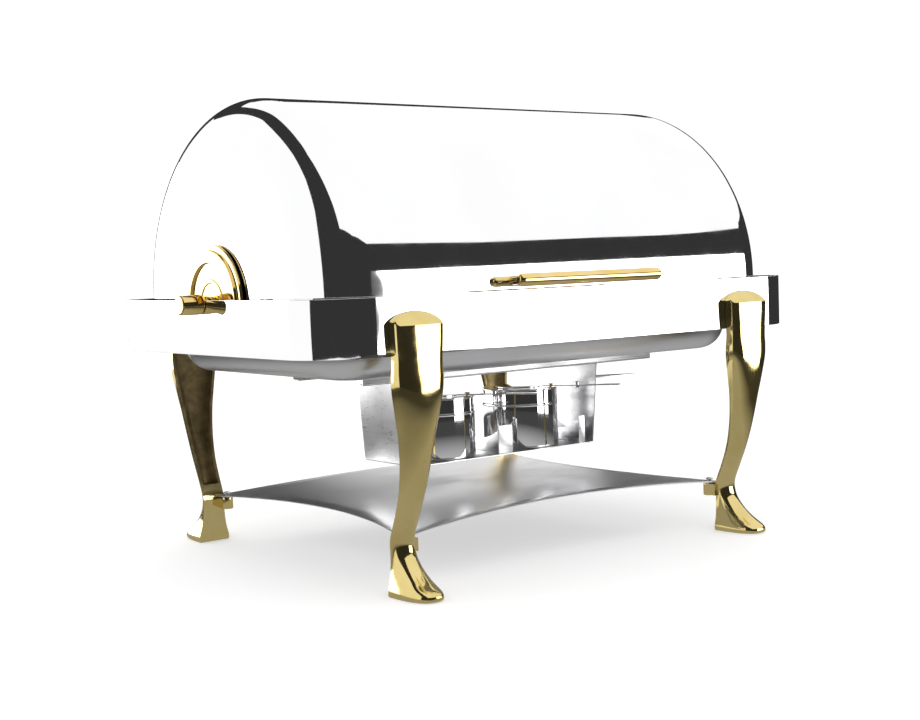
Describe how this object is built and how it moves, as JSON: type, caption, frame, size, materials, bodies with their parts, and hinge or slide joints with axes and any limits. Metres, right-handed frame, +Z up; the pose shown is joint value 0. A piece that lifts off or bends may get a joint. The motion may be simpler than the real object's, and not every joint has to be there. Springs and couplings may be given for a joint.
{
  "type": "chafing dish food warmer",
  "caption": "Roll-top chafing dish: stainless barrel cover turning on end spindles, gallery band on cast brass legs, water and food pans, shelf and hanging fuel-burner tray.",
  "frame": {"origin": "on the floor under the middle of the dish", "axes": "+X along the length to the right, -Y towards the serving side, +Z up"},
  "size_m": [0.678, 0.474, 0.4715],
  "materials": {
    "polished_steel": "mirror-polished stainless steel",
    "satin_steel": "satin stainless steel",
    "polished_brass": "polished, lacquered brass",
    "cast_brass": "cast brass, polished outside, as cast in the hollow back",
    "bush_brass": "plain turned bearing brass"
  },
  "bodies": {
    "frame": {"gallery_band": "polished_steel", "lower_shelf": "satin_steel", "leg_front_left": "cast_brass", "leg_screw_front_left_1": "satin_steel", "leg_screw_front_left_2": "satin_steel", "shelf_screw_front_left": "satin_steel", "leg_front_right": "cast_brass", "leg_screw_front_right_1": "satin_steel", "leg_screw_front_right_2": "satin_steel", "shelf_screw_front_right": "satin_steel", "leg_rear_left": "cast_brass", "leg_screw_rear_left_1": "satin_steel", "leg_screw_rear_left_2": "satin_steel", "shelf_screw_rear_left": "satin_steel", "leg_rear_right": "cast_brass", "leg_screw_rear_right_1": "satin_steel", "leg_screw_rear_right_2": "satin_steel", "shelf_screw_rear_right": "satin_steel", "pivot_spindle_left": "polished_brass", "spindle_spacer_left": "polished_brass", "spindle_nut_left": "satin_steel", "pan_carrier_left": "satin_steel", "pivot_spindle_right": "polished_brass", "spindle_spacer_right": "polished_brass", "spindle_nut_right": "satin_steel", "pan_carrier_right": "satin_steel"},
    "cover": {"cover_barrel": "polished_steel", "handle_grip": "polished_brass", "cover_end_left": "polished_steel", "pivot_hub_left": "polished_brass", "hub_bush_left": "bush_brass", "handle_post_left": "polished_brass", "handle_screw_left": "satin_steel", "cover_end_right": "polished_steel", "pivot_hub_right": "polished_brass", "hub_bush_right": "bush_brass", "handle_post_right": "polished_brass", "handle_screw_right": "satin_steel"},
    "water_pan": {"water_pan": "satin_steel", "tray_rail_front": "satin_steel", "tray_rail_rear": "satin_steel"},
    "food_pan": {"food_pan": "satin_steel"},
    "burner_tray": {"burner_tray": "satin_steel", "tray_divider_middle": "satin_steel", "tray_divider_left": "satin_steel", "tray_divider_right": "satin_steel"},
    "burner_left": {"burner_cup_left": "polished_steel", "fuel_can_left": "satin_steel", "burner_top_left": "polished_steel", "regulator_rivet_left": "polished_brass"},
    "regulator_left": {"regulator_cover_left": "polished_steel"},
    "burner_right": {"burner_cup_right": "polished_steel", "fuel_can_right": "satin_steel", "burner_top_right": "polished_steel", "regulator_rivet_right": "polished_brass"},
    "regulator_right": {"regulator_cover_right": "polished_steel"}
  },
  "joints": [
    {"name": "cover_roll", "type": "hinge", "parent": "frame", "child": "cover", "pos_m": [0, 0, 0.2715], "axis": [-1, 0, 0], "range_deg": [0, 172.5]},
    {"name": "water_pan_lift", "type": "slide", "parent": "frame", "child": "water_pan", "axis": [0, 0, 1], "range_m": [0, 0.03]},
    {"name": "food_pan_lift", "type": "slide", "parent": "water_pan", "child": "food_pan", "axis": [0, 0, 1], "range_m": [0, 0.05]},
    {"name": "tray_slide", "type": "slide", "parent": "water_pan", "child": "burner_tray", "axis": [1, 0, 0], "range_m": [0, 0.05]},
    {"name": "burner_left_slide", "type": "slide", "parent": "burner_tray", "child": "burner_left", "axis": [0, -1, 0], "range_m": [0, 0.04]},
    {"name": "regulator_left_swivel", "type": "hinge", "parent": "burner_left", "child": "regulator_left", "pos_m": [-0.01486, -0.02758, 0.1594], "axis": [0, 0, -1], "range_deg": [0, 60]},
    {"name": "burner_right_slide", "type": "slide", "parent": "burner_tray", "child": "burner_right", "axis": [0, -1, 0], "range_m": [0, 0.04]},
    {"name": "regulator_right_swivel", "type": "hinge", "parent": "burner_right", "child": "regulator_right", "pos_m": [0.10514, -0.02758, 0.1594], "axis": [0, 0, -1], "range_deg": [0, 60]}
  ]
}
